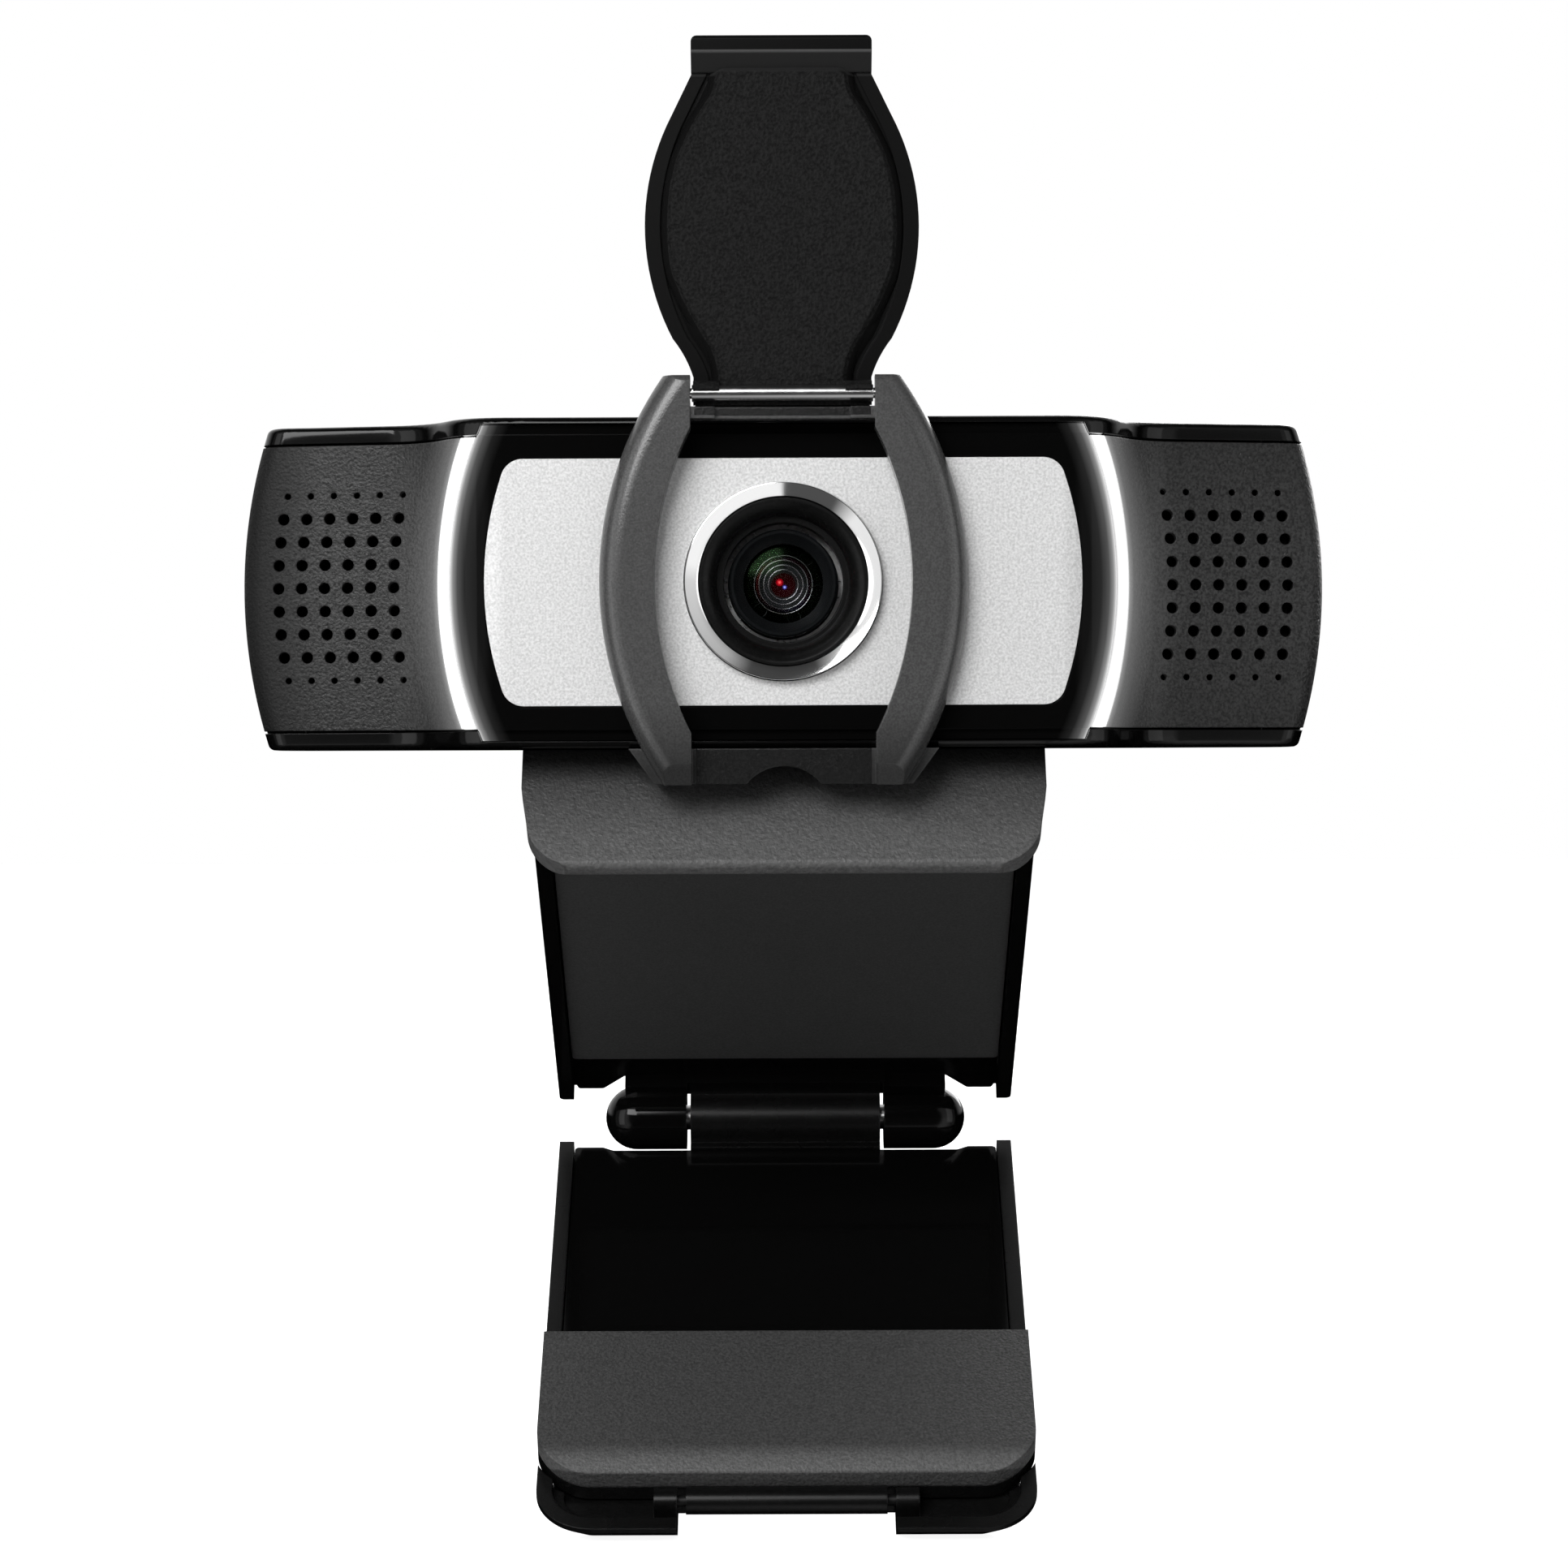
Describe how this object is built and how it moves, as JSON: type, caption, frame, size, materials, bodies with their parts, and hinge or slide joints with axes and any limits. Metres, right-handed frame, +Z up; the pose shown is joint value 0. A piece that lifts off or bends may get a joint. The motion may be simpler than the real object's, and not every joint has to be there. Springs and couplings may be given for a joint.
{
  "type": "webcam",
  "caption": "Webcam on a folding monitor clip with a tripod thread, side light guides, perforated wings, and a hinged privacy shutter raised above the lens.",
  "frame": {"origin": "centre of the mouth of the quarter-inch tripod thread in the outer face of the lower clip plate", "axes": "+Z up with the lens level, -Y the way the lens looks, +X to the viewer's right when facing the lens; the clip stands open at rest"},
  "size_m": [0.0942, 0.0599, 0.1287],
  "materials": {
    "clip_plastic": "satin black",
    "lip_plastic": "fine-textured matte dark grey",
    "clip_gloss": "polished black",
    "foot_rubber": "fine-textured matte dark grey",
    "pad_rubber": "smooth matte black",
    "brass": "machined",
    "steel": "ground",
    "pin_steel": "polished",
    "housing_gloss": "polished black",
    "bezel_gloss": "polished black",
    "silver_plate": "fine bead-blasted",
    "inlet_rubber": "matte",
    "chrome": "polished",
    "lens_black": "satin black",
    "barrel_black": "satin black",
    "lens_glass": "coated",
    "rear_glass": "coated",
    "inner_plastic": "matte",
    "filter_glass": "coated",
    "sensor": "polished",
    "circuit_board": "solder mask",
    "chip": "moulded",
    "light_guide": "translucent white",
    "wing_plastic": "fine leather grain",
    "shutter_grey": "satin dark grey",
    "flap_black": "satin black"
  },
  "bodies": {
    "lower_clip": {"lower_bracket": "clip_plastic", "lower_cover": "clip_gloss", "thread_insert": "brass", "hinge_pin": "steel", "foot_pin": "steel"},
    "foot": {"foot_base": "clip_plastic", "foot_pad": "foot_rubber"},
    "upper_clip": {"upper_tray": "clip_plastic", "friction_sleeves": "steel", "upper_cover": "lip_plastic", "upper_pad": "pad_rubber", "tilt_pin": "steel", "tilt_washers": "steel"},
    "camera": {"rear_shell": "housing_gloss", "front_bezel": "bezel_gloss", "faceplate": "silver_plate", "cable_inlet": "inlet_rubber", "tilt_lug": "clip_plastic", "lens_ring": "chrome", "lens_hood": "lens_black", "focus_housing": "inner_plastic", "focus_spring": "steel", "ir_filter": "filter_glass", "image_sensor": "sensor", "main_board": "circuit_board", "board_screws": "steel", "board_chips": "chip", "left_light_guide": "light_guide", "right_light_guide": "light_guide", "left_wing": "wing_plastic", "right_wing": "wing_plastic", "left_microphone": "circuit_board", "right_microphone": "circuit_board", "left_light_board": "circuit_board", "right_light_board": "circuit_board", "shutter_frame": "shutter_grey", "flap_pin": "pin_steel"},
    "focus_lens": {"lens_barrel": "barrel_black", "front_lens": "lens_glass", "lens_retainer": "barrel_black", "aperture_stop": "lens_black", "rear_lens": "rear_glass"},
    "flap": {"flap_tube": "pin_steel", "shutter_flap": "flap_black"}
  },
  "joints": [
    {"name": "clip_hinge", "type": "hinge", "parent": "lower_clip", "child": "upper_clip", "pos_m": [0, 0.01887, 0.02041], "axis": [-1, 0, 0], "range_deg": [-64.5, 95]},
    {"name": "foot_hinge", "type": "hinge", "parent": "lower_clip", "child": "foot", "pos_m": [0, -0.02289, -0.00963], "axis": [1, 0, 0], "range_deg": [0, 90]},
    {"name": "camera_tilt", "type": "hinge", "parent": "upper_clip", "child": "camera", "pos_m": [0, -0.02056, 0.05355], "axis": [-1, 0, 0], "range_deg": [0, 45]},
    {"name": "shutter_hinge", "type": "hinge", "parent": "camera", "child": "flap", "pos_m": [0, -0.03676, 0.08575], "axis": [1, 0, 0], "range_deg": [0, 180]},
    {"name": "lens_focus", "type": "slide", "parent": "camera", "child": "focus_lens", "axis": [0, -1, 0], "range_m": [0, 0.0003], "stiffness_N_per_m": 60}
  ]
}
